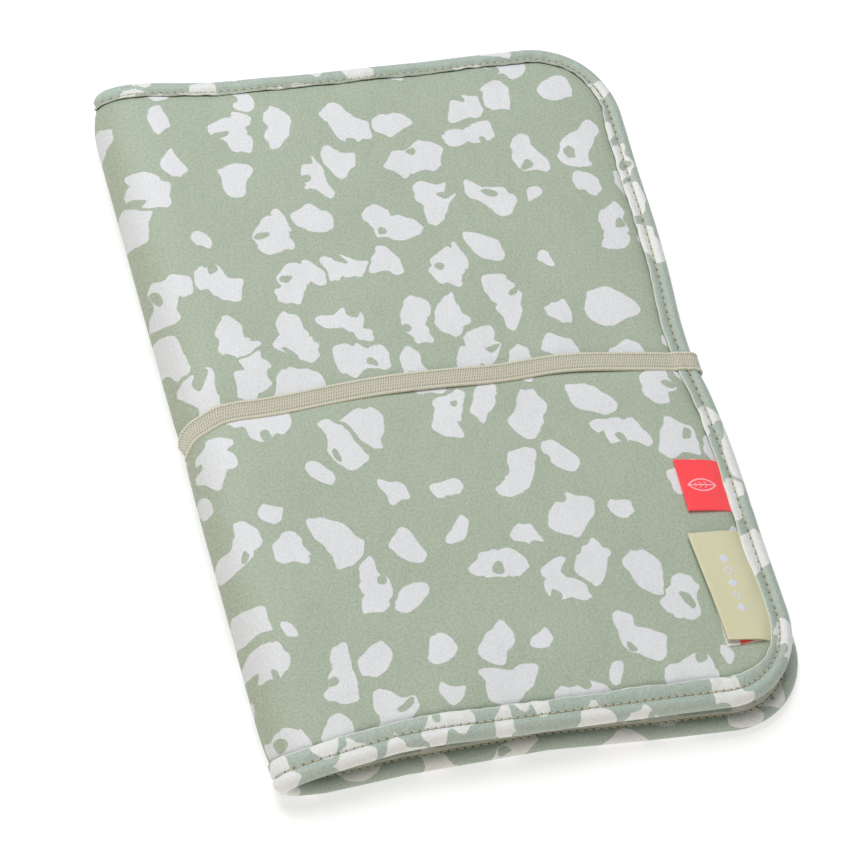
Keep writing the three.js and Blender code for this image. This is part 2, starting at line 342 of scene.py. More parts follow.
def shell(outer, inner):
    """A closed body between two grids of points with the same rows and columns."""
    rows, columns = outer.shape[:2]
    count = rows * columns
    faces = grid_faces(rows, columns)
    faces += [tuple(count + v for v in reversed(f)) for f in grid_faces(rows, columns)]
    rim = [(0, c) for c in range(columns)]
    rim += [(r, columns - 1) for r in range(1, rows)]
    rim += [(rows - 1, c) for c in range(columns - 2, -1, -1)]
    rim += [(r, 0) for r in range(rows - 2, 0, -1)]
    index = [r * columns + c for r, c in rim]
    for a, b in zip(index, index[1:] + index[:1]):
        faces.append((b, a, count + a, count + b))
    points = np.concatenate([outer.reshape(-1, 3), inner.reshape(-1, 3)])
    return points, faces


def quads(grid):
    """How many faces a grid of points has on one side."""
    return (grid.shape[0] - 1) * (grid.shape[1] - 1)


def loft(rings):
    """A closed body through rings of points, with a cap at each end."""
    rings = np.asarray(rings, float)
    count, around = rings.shape[:2]
    faces = grid_faces(count, around, around=True)
    faces.append(tuple(reversed(range(around))))
    faces.append(tuple(range((count - 1) * around, count * around)))
    return rings.reshape(-1, 3), faces


# ---------------------------------------------------------------- materials


class Graph:
    """A material's node tree, built by calls that return sockets."""

    def __init__(self, name, roughness=0.6, sheen=0.0, sheen_roughness=0.5, specular=0.5):
        self.material = bpy.data.materials.new(name)
        self.material.use_nodes = True
        self.tree = self.material.node_tree
        self.shader = self.tree.nodes["Principled BSDF"]
        self.shader.inputs["Roughness"].default_value = roughness
        self.shader.inputs["Sheen Weight"].default_value = sheen
        self.shader.inputs["Sheen Roughness"].default_value = sheen_roughness
        self.shader.inputs["Specular IOR Level"].default_value = specular

    def node(self, kind, **settings):
        node = self.tree.nodes.new(kind)
        for key, value in settings.items():
            setattr(node, key, value)
        return node

    def plug(self, socket, value):
        if isinstance(value, bpy.types.NodeSocket):
            self.tree.links.new(value, socket)
        elif value is not None:
            socket.default_value = value

    def math(self, operation, a, b=None, c=None):
        node = self.node("ShaderNodeMath", operation=operation)
        for socket, value in zip(node.inputs, (a, b, c)):
            self.plug(socket, value)
        return node.outputs[0]

    def mul(self, a, b):
        return self.math("MULTIPLY", a, b)

    def mul_add(self, a, b, c):
        return self.math("MULTIPLY_ADD", a, b, c)

    def add(self, a, b):
        return self.math("ADD", a, b)

    def sub(self, a, b):
        return self.math("SUBTRACT", a, b)

    def div(self, a, b):
        return self.math("DIVIDE", a, b)

    def max(self, a, b):
        return self.math("MAXIMUM", a, b)

    def abs(self, a):
        return self.math("ABSOLUTE", a)

    def sine(self, a):
        return self.math("SINE", a)

    def vector(self, operation, a, b=None, scale=None):
        node = self.node("ShaderNodeVectorMath", operation=operation)
        self.plug(node.inputs[0], a)
        self.plug(node.inputs[1], b)
        if scale is not None:
            self.plug(node.inputs["Scale"], scale)
        return node.outputs["Value" if operation == "LENGTH" else "Vector"]

    def parts(self, vector):
        node = self.node("ShaderNodeSeparateXYZ")
        self.plug(node.inputs[0], vector)
        return node.outputs

    def join(self, x, y, z=0.0):
        node = self.node("ShaderNodeCombineXYZ")
        for socket, value in zip(node.inputs, (x, y, z)):
            self.plug(socket, value)
        return node.outputs[0]

    def uv(self, name="cloth"):
        return self.node("ShaderNodeUVMap", uv_map=name).outputs[0]

    def place(self):
        return self.node("ShaderNodeTexCoord").outputs["Object"]

    def noise(self, vector, scale, detail=2.0, roughness=0.5, kind="2D", color=False):
        node = self.node("ShaderNodeTexNoise", noise_dimensions=kind)
        self.plug(node.inputs["Vector"], vector)
        node.inputs["Scale"].default_value = scale
        node.inputs["Detail"].default_value = detail
        node.inputs["Roughness"].default_value = roughness
        return node.outputs["Color" if color else "Fac"]

    def cells(self, vector, scale, randomness, feature="F1"):
        node = self.node("ShaderNodeTexVoronoi", voronoi_dimensions="2D", feature=feature)
        self.plug(node.inputs["Vector"], vector)
        node.inputs["Scale"].default_value = scale
        node.inputs["Randomness"].default_value = randomness
        return node.outputs

    def step(self, value, low, high, out_low=0.0, out_high=1.0):
        node = self.node("ShaderNodeMapRange", interpolation_type="SMOOTHSTEP")
        self.plug(node.inputs["Value"], value)
        for name, number in (("From Min", low), ("From Max", high),
                             ("To Min", out_low), ("To Max", out_high)):
            self.plug(node.inputs[name], number)
        return node.outputs["Result"]

    def mix(self, factor, a, b):
        node = self.node("ShaderNodeMix", data_type="RGBA")
        self.plug(node.inputs["Factor"], factor)
        self.plug(node.inputs[6], a)
        self.plug(node.inputs[7], b)
        return node.outputs[2]

    def mix_value(self, factor, a, b):
        node = self.node("ShaderNodeMix", data_type="FLOAT")
        self.plug(node.inputs["Factor"], factor)
        self.plug(node.inputs[2], a)
        self.plug(node.inputs[3], b)
        return node.outputs[0]

    def shade(self, color, value):
        """The colour made lighter or darker by a number near 1."""
        if not isinstance(color, bpy.types.NodeSocket):
            color = color[:3]
        return self.vector("SCALE", color, scale=value)

    def bump(self, height, distance, strength=1.0, normal=None):
        node = self.node("ShaderNodeBump")
        node.inputs["Strength"].default_value = strength
        node.inputs["Distance"].default_value = distance
        self.plug(node.inputs["Height"], height)
        self.plug(node.inputs["Normal"], normal)
        return node.outputs[0]

    def finish(self, color, normal=None):
        self.plug(self.shader.inputs["Base Color"], color)
        self.plug(self.shader.inputs["Normal"], normal)
        return self.material


def linear(red, green, blue):
    """A colour given as it looks on screen, from 0 to 255, for a shader."""
    parts = [v / 255 for v in (red, green, blue)]
    return tuple(v / 12.92 if v <= 0.04045 else ((v + 0.055) / 1.055) ** 2.4 for v in parts) + (1.0,)


SAGE = linear(168, 180, 162)
BLOTCH = linear(221, 223, 226)
TAPE_SAGE = linear(170, 184, 173)
TAPE_BLOTCH = linear(226, 228, 226)
ELASTIC = linear(216, 213, 194)
THREAD = linear(194, 187, 158)
CORAL = linear(255, 74, 80)
SATIN = linear(230, 228, 190)
WHITE = linear(244, 243, 240)
LINING = linear(226, 228, 218)

BLOTCH_PITCH = 22.5  # mm from one blotch of the print to the next
BLOTCH_SCATTER = 0.64


def random_numbers(graph, color, seed):
    """Three more random numbers from a cell's random colour."""
    node = graph.node("ShaderNodeTexWhiteNoise", noise_dimensions="3D")
    graph.plug(node.inputs["Vector"], graph.vector("SCALE", color, scale=seed))
    return graph.parts(node.outputs["Color"])


def disc(graph, x, y, centre, radius):
    """How far inside a disc a point lies; the centre and radius may be sockets."""
    dx = graph.sub(x, centre[0])
    dy = graph.sub(y, centre[1])
    return graph.sub(radius, graph.vector("LENGTH", graph.join(dx, dy)))


def warp(graph, point, size, amount):
    """The point moved by smooth noise with features of the given size."""
    shift = graph.noise(point, 1 / size, 0.5, color=True)
    shift = graph.vector("SUBTRACT", shift, (0.5, 0.5, 0.5))
    return graph.vector("ADD", point, graph.vector("SCALE", shift, scale=amount))


def blotches(graph, point):
    """The cloth's print: 1 on an off-white blotch, 0 on the ground. point is in mm.

    Every cell of a loose grid holds one blotch: a plain pebble, or three joined lobes
    with a bite taken out of them. A gap is kept along the borders of the cells.
    """
    warped = warp(graph, point, BLOTCH_PITCH * 0.62, 9.0)
    warped = warp(graph, warped, 5.0, 2.7)
    cells = graph.cells(warped, 1 / BLOTCH_PITCH, BLOTCH_SCATTER)
    edge = graph.cells(warped, 1 / BLOTCH_PITCH, BLOTCH_SCATTER, feature="DISTANCE_TO_EDGE")
    room = graph.mul_add(edge["Distance"], BLOTCH_PITCH, -1.1)
    dx, dy, _ = graph.parts(graph.vector("SUBTRACT", warped, cells["Position"]))
    kind, spin, size = graph.parts(cells["Color"])
    one, two, three = random_numbers(graph, cells["Color"], 23.0)
    angle = graph.mul(spin, 2 * math.pi)
    c, d = graph.math("COSINE", angle), graph.sine(angle)
    x = graph.sub(graph.mul(dx, c), graph.mul(dy, d))
    y = graph.add(graph.mul(dx, d), graph.mul(dy, c))

    # A pebble: an oval with one end broader than the other.
    reach = graph.mul_add(size, 4.9, 3.0)
    long = graph.mul_add(one, 0.55, 1.0)
    taper = graph.mul_add(graph.mul(x, 0.05), two, 1.12)
    oval = graph.join(graph.div(x, long), graph.mul(y, taper))
    pebble = graph.sub(reach, graph.vector("LENGTH", oval))

    # Three lobes with a bite.
    swing = graph.mul_add(two, 5.0, -2.5)
    lobes = disc(graph, x, y, (0.0, 0.0), graph.mul_add(one, 1.4, 4.9))
    second = disc(graph, x, y, (6.9, swing), graph.mul_add(three, 1.7, 4.1))
    third = disc(graph, x, y, (-5.9, graph.add(swing, 4.2)), 4.6)
    lobes = graph.math("SMOOTH_MAX", lobes, second, 1.6)
    lobes = graph.math("SMOOTH_MAX", lobes, third, 1.6)
    place = graph.mul_add(three, 3.2, -5.2)
    bite = disc(graph, x, y, (graph.mul_add(one, 4.0, -1.0), place), 2.5)
    lobes = graph.math("SMOOTH_MIN", lobes, graph.mul(bite, -1.0), 1.5)

    is_lobed = graph.math("GREATER_THAN", kind, 0.50)
    both = graph.mix_value(is_lobed, pebble, lobes)
    both = graph.math("SMOOTH_MIN", both, room, 3.2)
    return graph.step(both, -0.61, -0.29)


def satin_weave(graph, point, pitch=0.42):
    """The fine diagonal grain of a printed satin cloth. point is in mm."""
    x, y, _ = graph.parts(point)
    across = graph.sine(graph.mul(x, 2 * math.pi / pitch))
    along = graph.sine(graph.mul(y, 2 * math.pi / (pitch * 0.8)))
    grain = graph.noise(point, 1 / 0.95, 2.0, 0.85)
    woven = graph.mul(across, along)
    return graph.add(graph.mul(woven, 0.35), grain)


def printed_cloth(name, ground, blotch, roughness, turned=0.0, holes=False):
    """The pad's printed satin; turned is the angle of the cut against the weave."""
    graph = Graph(name, roughness=roughness, sheen=0.12, sheen_roughness=0.35, specular=0.42)
    point = graph.uv("cloth")
    if turned:
        x, y, _ = graph.parts(point)
        c, s = math.cos(turned), math.sin(turned)
        point = graph.join(
            graph.sub(graph.mul(x, c), graph.mul(y, s)),
            graph.add(graph.mul(x, s), graph.mul(y, c)),
        )
    mask = blotches(graph, point)
    weave = satin_weave(graph, point)
    color = graph.mix(mask, ground, blotch)
    cloudy = graph.noise(point, 1 / 28, 3.0, 0.6)
    tone = graph.mul_add(cloudy, 0.10, 0.95)
    color = graph.shade(color, tone)
    # Painted shade along the side of the fold, on the cover's cloth only.
    if not holes:
        color = painted_fold_shade(graph, color)
    depth = graph.mul_add(mask, -0.34, 0.68)
    grain = graph.sub(weave, 0.5)
    speckle = graph.mul_add(grain, depth, 1.0)
    color = graph.shade(color, speckle)
    height = graph.mul_add(mask, 0.25, weave)
    if holes:
        color, height = needle_holes_and_painted_light(graph, color, height)
    slack = graph.noise(point, 1 / 8.0, 2.0, 0.55)
    normal = graph.bump(slack, 0.0009, 0.5)
    normal = graph.bump(height, 0.00010, 0.7, normal)
    return graph.finish(color, normal)


def painted_fold_shade(graph, color):
    """Painted shade: the cloth on the very side of the fold, where it turns away from the light, is
    darkened and warmed a little.
    """
    around, _, _ = graph.parts(graph.uv("cloth"))
    side = graph.step(graph.abs(around), 3.0, 16.0, 1.0, 0.0)
    return graph.mix(graph.mul(side, 0.17), color, linear(128, 116, 70))


def needle_holes_and_painted_light(graph, color, height):
    """Small dimples where the needle went through, at every stitch, darkened with painted shade; also a
    painted highlight on the tape's folded edge and painted shade under the stitch row.
    """
    along, inset, _ = graph.parts(graph.uv("seam"))
    cycle = graph.math("PINGPONG", graph.div(along, STITCH_PITCH), 0.5)
    way = graph.mul(cycle, STITCH_PITCH)
    off = graph.sub(inset, STITCH_INSET)
    distance = graph.vector("LENGTH", graph.join(way, off))
    hole_dent_and_shade = graph.step(distance, 0.2, 0.5, 1.0, 0.0)
    # Painted shade in the needle holes, besides their dent.
    color = graph.mix(graph.mul(hole_dent_and_shade, 0.85), color, linear(80, 80, 64))
    # A painted highlight: the folded inner edge of the tape is made a little paler, as where it catches
    # the light.
    lip = graph.step(inset, 8.75, 9.0)
    color = graph.mix(graph.mul(lip, 0.55), color, linear(236, 238, 226))
    # Painted shade: a faint darker band along the crease under the row of stitches.
    painted_crease_shade = graph.step(graph.abs(off), 0.15, 0.7, 1.0, 0.0)
    color = graph.mix(graph.mul(painted_crease_shade, 0.2), color, linear(110, 112, 92))
    return color, graph.mul_add(hole_dent_and_shade, -2.0, height)


cover_cloth = printed_cloth("cover_cloth", SAGE, BLOTCH, 0.5)
tape_cloth = printed_cloth("tape_cloth", TAPE_SAGE, TAPE_BLOTCH, 0.4, turned=0.7, holes=True)


def elastic_material():
    """Knitted elastic: cords along both edges and slanting ribs between them."""
    graph = Graph("strap_elastic", roughness=0.78, sheen=0.35, sheen_roughness=0.5, specular=0.3)
    along, across, _ = graph.parts(graph.uv("cloth"))
    slant = graph.sub(along, graph.mul(across, 0.35))
    ribs = graph.sine(graph.mul(slant, 2 * math.pi / 0.98))
    rows = graph.sine(graph.mul(across, 2 * math.pi / 1.25))
    crossed = graph.mul(ribs, rows)
    weave = graph.mul_add(crossed, 0.6, graph.mul(ribs, 0.4))
    fuzz = graph.noise(graph.uv("cloth"), 1.5, 3.0, 0.8)
    cord = graph.step(graph.abs(across), STRAP_WIDTH / 2 - 1.1, STRAP_WIDTH / 2 - 0.8)
    dark = graph.mul(weave, graph.mul_add(cord, -0.6, 1.0))
    tone = graph.mul_add(dark, 0.37, 0.76)
    tone = graph.add(tone, graph.mul_add(fuzz, 0.5, -0.21))
    tone = graph.mul_add(cord, 0.12, tone)
    # Painted shade: a darker line along the groove between each edge cord and the middle.
    painted_groove_shade = graph.sub(graph.abs(across), STRAP_WIDTH / 2 - 1.35)
    painted_groove_shade = graph.step(graph.abs(painted_groove_shade), 0.12, 0.4, 1.0, 0.0)
    tone = graph.mul_add(painted_groove_shade, -0.14, tone)
    color = graph.shade(ELASTIC, tone)
    normal = graph.bump(graph.mul_add(fuzz, 0.6, dark), 0.00022, 0.8)
    return graph.finish(color, normal)


def thread_material(name, tone_color):
    graph = Graph(name, roughness=0.6, sheen=0.3, specular=0.4)
    point = graph.place()
    fibres = graph.noise(point, 1800.0, 2.0, 0.6, kind="3D")
    color = graph.shade(tone_color, graph.mul_add(fibres, 0.5, 0.75))
    return graph.finish(color, graph.bump(fibres, 0.0001, 0.6))


def plain_cloth(name, color, roughness=0.7, pitch=0.6, sheen=0.15):
    """A plain woven or coated cloth with a fine square weave."""
    graph = Graph(name, roughness=roughness, sheen=sheen, specular=0.35)
    point = graph.uv("cloth")
    x, y, _ = graph.parts(point)
    warp = graph.sine(graph.mul(x, 2 * math.pi / pitch))
    weft = graph.sine(graph.mul(y, 2 * math.pi / pitch))
    weave = graph.mul(warp, weft)
    cloudy = graph.noise(point, 1 / 20, 3.0, 0.6)
    tone = graph.mul_add(cloudy, 0.10, 0.95)
    tone = graph.mul_add(weave, 0.025, tone)
    slack = graph.noise(point, 1 / 9, 2.0, 0.5)
    normal = graph.bump(slack, 0.0008, 0.3)
    normal = graph.bump(weave, 0.0001, 0.5, normal)
    return graph.finish(graph.shade(color, tone), normal)


def label_material(name, color, emblem, thread=None, painted_glow=0.0):
    """A woven label: fine crosswise ribs, and a plain generic mark in white thread."""
    graph = Graph(name, roughness=0.55, sheen=0.35, sheen_roughness=0.4, specular=0.4)
    point = graph.uv("cloth")
    x, y, _ = graph.parts(point)
    ribs = graph.sine(graph.mul(y, 2 * math.pi / 0.36))
    fine = graph.sine(graph.mul(x, 2 * math.pi / 0.3))
    weave = graph.mul(ribs, graph.mul_add(fine, 0.3, 0.7))
    grain = graph.noise(point, 1.6, 2.0, 0.6)
    tone = graph.mul_add(weave, 0.035, 0.94)
    tone = graph.add(tone, graph.mul(grain, 0.12))
    mark = emblem(graph, x, y)
    base = graph.mix(mark, color, thread or WHITE)
    # Painted light: a faint emission makes the label look brighter than the lamps alone light it.
    if painted_glow:
        graph.shader.inputs["Emission Color"].default_value = color
        graph.shader.inputs["Emission Strength"].default_value = painted_glow
    normal = graph.bump(graph.mul_add(mark, 1.5, weave), 0.00012, 0.7)
    return graph.finish(graph.shade(base, tone), normal)


def leaf_emblem(graph, x, y):
    """A small leaf outline with a middle vein, centred on the coral label."""
    px = graph.sub(x, 9.0)
    py = graph.sub(y, 10.5)
    radius, reach = 8.2, 5.6
    outline = None
    for side in (-1, 1):
        centre = graph.join(px, graph.add(py, side * reach))
        ring = graph.sub(graph.vector("LENGTH", centre), radius)
        outline = ring if outline is None else graph.max(outline, ring)
    line = graph.step(graph.abs(graph.add(outline, 0.25)), 0.16, 0.34, 1.0, 0.0)
    vein = graph.step(graph.abs(py), 0.12, 0.28, 1.0, 0.0)
    vein = graph.mul(vein, graph.step(outline, -0.6, -0.3, 1.0, 0.0))
    slanted = graph.sub(px, graph.abs(py))
    ribs = graph.math("PINGPONG", graph.div(slanted, 2.2), 0.5)
    ribs = graph.step(ribs, 0.05, 0.12, 1.0, 0.0)
    ribs = graph.mul(ribs, graph.step(outline, -1.4, -1.0, 1.0, 0.0))
    return graph.max(line, graph.max(vein, ribs))


def diamond_emblem(graph, x, y):
    """A row of small plain diamonds, alternately open and filled, along the beige label."""
    pitch = 5.2
    along = graph.sub(y, 22.0 - pitch / 2)
    index = graph.math("FLOOR", graph.div(along, pitch))
    cell_start = graph.mul(index, pitch)
    local = graph.sub(graph.sub(along, cell_start), pitch / 2)
    off = graph.sub(x, 11.0)
    size = graph.add(graph.abs(local), graph.abs(off))
    solid = graph.step(size, 1.9, 2.15, 1.0, 0.0)
    hollow = graph.mul(graph.step(size, 1.15, 1.4), graph.math("PINGPONG", index, 1.0))
    every = graph.sub(1.0, graph.math("PINGPONG", index, 1.0))
    mark = graph.mul(solid, graph.max(hollow, every))
    ends = graph.mul(graph.math("GREATER_THAN", y, 9.0), graph.math("LESS_THAN", y, 35.0))
    return graph.mul(mark, ends)


def no_emblem(graph, x, y):
    return graph.mul(x, 0.0)


strap_elastic = elastic_material()
seam_thread = thread_material("seam_thread", THREAD)
lining_cloth = plain_cloth("lining_cloth", LINING)
mat_cloth = plain_cloth("mat_cloth", linear(222, 224, 214), 0.65, 0.7)
net_thread = thread_material("net_thread", linear(214, 214, 204))
# The coral label is given a faint painted glow.
coral_weave = label_material("coral_weave", CORAL, leaf_emblem, linear(250, 200, 212), 0.18)
beige_weave = label_material("beige_weave", SATIN, diamond_emblem, linear(232, 236, 250))
white_weave = label_material("white_weave", WHITE, no_emblem)
tag_weave = label_material("tag_weave", CORAL, no_emblem)
edging_cloth = plain_cloth("edging_cloth", TAPE_SAGE, 0.55, 0.5)

# ---------------------------------------------------------------- padded covers


def tape_width(leaf, s, t):
    """How far the binding reaches in from the edge; it was not sewn on evenly."""
    s, t = np.asarray(s, float), np.asarray(t, float)
    if leaf.side < 0:
        return np.full(np.broadcast_shapes(s.shape, t.shape), BINDING_WIDTH)
    open_side = smooth(leaf.length - 30, leaf.length - 20, s)
    narrow_top = 2.4 * smooth(95, 136, t)
    wide_bottom = 1.5 * smooth(95, 136, -t)
    by_labels = 0.9 * bump(t, -80, 14) * open_side
    tight_corner = 2.6 * bump(t, 18 - leaf.half, 13) * bump(s, leaf.length - 14, 13)
    return BINDING_WIDTH - narrow_top + wide_bottom + by_labels - tight_corner


def tape_swell(leaf, t):
    """The front leaf's lower binding is fuller than the rest."""
    return 1 + 0.14 * smooth(95, 136, -np.asarray(t)) if leaf.side > 0 else 1.0


def strap_dent(s, t):
    """How far the strap presses the padding in."""
    line = strap_line(s)
    near = bump(t, line, 5.2)
    wide = bump(t, line, 17)
    return 0.85 * near + 0.45 * wide


def cover_height(leaf, s, t):
    """Height of the outer cloth over the leaf's middle layer."""
    d = leaf.inset(s, t) - tape_width(leaf, s, t)
    crown = PUFF * (1 - np.exp(-np.maximum(d, 0) / 7.0)) if leaf.side > 0 else 0.25
    # Shallow puckers run in from the seam and fade out.
    along = np.where(leaf.half - np.abs(t) < leaf.length - s, s, t)
    ripple = waves(along, along * 0.13, 13, 21) * 0.6 + waves(along, along * 0.31, 6.5, 22) * 0.4
    pucker = 0.26 * ripple * np.exp(-np.maximum(d, 0) / 9.0) * smooth(-3, 2, d)
    dip = -0.55 * np.exp(-(np.maximum(d, -1) / 1.6) ** 2) - 1.0 * smooth(0.3, -1.3, d)
    quiet = 1.0 if leaf.side > 0 else 0.35
    dent = strap_dent(s, t) * smooth(-2, 3, d)
    return HALF_LEAF - 0.1 + crown + quiet * (pucker + dip) - dent


def lining_height(leaf, s, t):
    """Height of the lining, on the leaf's inner side, so below its middle layer."""
    d = leaf.inset(s, t) - BINDING_WIDTH
    along = np.where(leaf.half - np.abs(t) < leaf.length - s, s, t)
    pucker = 0.14 * waves(along, along * 0.2, 11, 31) * np.exp(-np.maximum(d, 0) / 8.0)
    return -(HALF_LEAF - 0.15 + pucker * smooth(0, 30, s))


def panel_grid(leaf, inset, step):
    """Rows of (s, t) points that fill the leaf inside an inset, round corners and all."""
    half = leaf.half - inset
    radius = CORNER_RADIUS - inset
    length = leaf.length - inset
    flat = np.linspace(-(half - radius), half - radius, int(2 * (half - radius) / step))
    turn = np.linspace(0, math.pi / 2, int(radius * 1.57 / step) + 2)[1:]
    ends = (half - radius) + radius * np.sin(turn)
    t = np.concatenate([-ends[::-1], flat, ends])
    over = np.maximum(np.abs(t) - (half - radius), 0)
    reach = length - radius + np.sqrt(np.maximum(radius ** 2 - over ** 2, 0))
    columns = int(length / step)
    u = np.linspace(0, 1, columns)
    # The fold gets the finest columns.
    u = 0.75 * u + 0.25 * u ** 2
    s = reach[:, None] * u[None, :]
    return s, np.repeat(t[:, None], columns, 1)


def cloth_uv(leaf, s, t):
    """Print coordinates that run on round the fold from one leaf to the other."""
    stretch = 1.17
    u = np.where(s < leaf.turn, s * stretch, leaf.turn * stretch + s - leaf.turn)
    return np.stack([leaf.side * u, t], -1)


def make_cover(name, leaf, step):
    s, t = panel_grid(leaf, COVER_INSET, step)
    h = cover_height(leaf, s, t)
    on_floor = leaf.side < 0
    outer = leaf.place(s, t, h, COVER_LOWEST if on_floor else None)
    inner = leaf.place(s, t, h - CLOTH, COVER_LOWEST + CLOTH if on_floor else None)
    points, faces = shell(outer, inner)
    uv = np.concatenate([cloth_uv(leaf, s, t).reshape(-1, 2)] * 2)
    cover = make_object(name, points, faces, cover_cloth, uv, crisp_from=2 * quads(s))
    bend(cover)
    return cover


def make_lining(name, leaf, step):
    s, t = panel_grid(leaf, LINING_INSET, step)
    h = lining_height(leaf, s, t)
    outer = leaf.place(s, t, h)
    inner = leaf.place(s, t, h + CLOTH)
    points, faces = shell(outer, inner)
    uv = np.concatenate([cloth_uv(leaf, s, t).reshape(-1, 2)] * 2)
    lining = make_object(name, points, faces, lining_cloth, uv, crisp_from=2 * quads(s))
    bend(lining)
    return lining


STEP = 1.3

front_cover = make_cover("front_cover_panel", front, STEP)
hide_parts("front_cover", "front_foam", "fold_cover", "fold_foam")
back_cover = make_cover("back_cover_panel", back, STEP * 1.5)
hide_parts("back_cover", "back_foam")
front_lining = make_lining("front_lining_panel", front, STEP * 1.8)
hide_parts("front_lining", "fold_lining")
back_lining = make_lining("back_lining_panel", back, STEP * 1.8)
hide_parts("back_lining")

# ---------------------------------------------------------------- binding


def edge_path(leaf, spacing):
    """The leaf's outer edge from one end of the fold to the other, with its inward direction."""
    radius = CORNER_RADIUS
    far, half = leaf.length, leaf.half
    points, inward = [], []

    def straight(a, b, normal):
        steps = max(2, int(math.dist(a, b) / spacing))
        for i in range(steps):
            k = i / steps
            points.append((a[0] + (b[0] - a[0]) * k, a[1] + (b[1] - a[1]) * k))
            inward.append(normal)

    def corner(centre, start):
        steps = int(radius * math.pi / 2 / spacing)
        for i in range(steps):
            angle = start - math.pi / 2 * i / steps
            ray = (math.cos(angle), math.sin(angle))
            points.append((centre[0] + radius * ray[0], centre[1] + radius * ray[1]))
            inward.append((-ray[0], -ray[1]))

    straight((0, half), (far - radius, half), (0, -1))
    corner((far - radius, half - radius), math.pi / 2)
    straight((far, half - radius), (far, radius - half), (-1, 0))
    corner((far - radius, radius - half), 0)
    straight((far - radius, -half), (0, -half), (0, 1))
    points.append((0, -half))
    inward.append((0, 1))
    points, inward = np.array(points), np.array(inward, float)
    way = way_along(points)
    return points, inward, way


# The folded tape's outer face, as (inset, height): from its inner edge to the leaf's edge.
TAPE_FACE = [
    (9.15, 2.45), (9.3, 2.85), (9.1, 3.2), (8.5, 3.35), (7.6, 3.3), (6.8, 3.1), (6.1, 2.75),
    (5.5, 2.55), (4.9, 2.75), (4.2, 3.15), (3.3, 3.35), (2.3, 3.15), (1.4, 2.6), (0.7, 1.85),
    (0.2, 0.95), (0.0, 0.0),
]
TAPE_THICKNESS = 0.45


def tape_profile():
    """The tape's closed section: out round the edge and back inside, as (inset, height)."""
    face = np.array(TAPE_FACE)
    outer = np.concatenate([face, face[-2::-1] * (1, -1)])
    way = unit(np.gradient(outer, axis=0))
    inward = np.stack([-way[:, 1], way[:, 0]], 1)
    if inward[len(face) - 1][0] < 0:
        inward = -inward
    inner = outer + inward * TAPE_THICKNESS
    return outer, inner


def pressed(leaf, h):
    """The back leaf's contents press the inner side of its tape flatter."""
    return np.where((np.asarray(h) < 0) & (leaf.side < 0), 0.84 * np.asarray(h), h)


def tape_surface(leaf, points, inward, way, profile, lowest):
    """Points of the tape along the edge, with the gathers that the stitching leaves."""
    n = profile[None, :, 0]
    h = profile[None, :, 1]
    l = way[:, None]
    s, t = points[:, 0][:, None], points[:, 1][:, None]
    sign = np.sign(h) * np.minimum(np.abs(h), 1)
    row = bump(n, STITCH_INSET, 1.1)
    pull = row * (0.12 + 0.14 * np.cos(2 * math.pi * l / STITCH_PITCH))
    loose = bump(n, 7.8, 1.6) + 0.9 * bump(n, 3.0, 1.8)
    curve = bump(np.abs(t), leaf.half, 30) * bump(s, leaf.length, 30)
    gather = (0.15 + 0.22 * curve) * waves(l, l * 0.4, 5.6, 41) + 0.2 * waves(l, l * 0.2, 17, 42)
    wobble = (0.42 * waves(l, l * 0.15, 24, 43) + 0.16 * waves(l, l * 0.1, 7, 44)) * smooth(6, 9, n)
    nip = bump(t, strap_line(s), 7) * smooth(leaf.length - 25, leaf.length - 5, s)
    h = pressed(leaf, h) * tape_swell(leaf, t) * (1 - 0.22 * nip) + sign * (gather * loose - pull)
    if leaf.side < 0:
        h = np.maximum(h, -HALF_LEAF - 0.15)
    spread = (tape_width(leaf, s, t) - STITCH_INSET) / (BINDING_WIDTH - STITCH_INSET)
    n = np.where(n > STITCH_INSET, STITCH_INSET + (n - STITCH_INSET) * spread, n)
    n = n + wobble + 0.7 * nip * smooth(4, 0, n)
    where_s = s + inward[:, 0][:, None] * n
    where_t = t + inward[:, 1][:, None] * n
    return leaf.place(np.maximum(where_s, 0), where_t, h, lowest)


def make_binding(name, leaf, phase):
    points, inward, way = edge_path(leaf, 1.0)
    outer, inner = tape_profile()
    on_floor = leaf.side < 0
    top = tape_surface(leaf, points, inward, way, outer, TAPE_LOWEST if on_floor else None)
    under = tape_surface(leaf, points, inward, way, inner,
                         TAPE_LOWEST + TAPE_THICKNESS if on_floor else None)
    rings = np.concatenate([top, under[:, ::-1]], 1)
    body, faces = loft(rings)
    across = way_along(outer)
    across = np.concatenate([across, across[::-1]])
    insets = np.concatenate([outer[:, 0], inner[::-1, 0]])
    u = np.repeat(way[:, None], len(across), 1)
    uv = np.stack([u + phase, np.repeat(across[None], len(way), 0)], -1)
    seam = np.stack([u, np.repeat(insets[None], len(way), 0)], -1)
    tape = make_object(name, body, faces, tape_cloth, uv.reshape(-1, 2), seam.reshape(-1, 2),
                       crisp_from=len(faces) - 2)
    bend(tape)
    return tape, (points, inward, way)


front_tape, front_path = make_binding("front_binding_tape", front, 0.0)
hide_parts("front_binding", "fold_binding_top")
back_tape, back_path = make_binding("back_binding_tape", back, 700.0)
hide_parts("back_binding", "fold_binding_bottom")

# ---------------------------------------------------------------- stitching

STITCH_LENGTH = 2.3
STITCH_RADIUS = 0.29


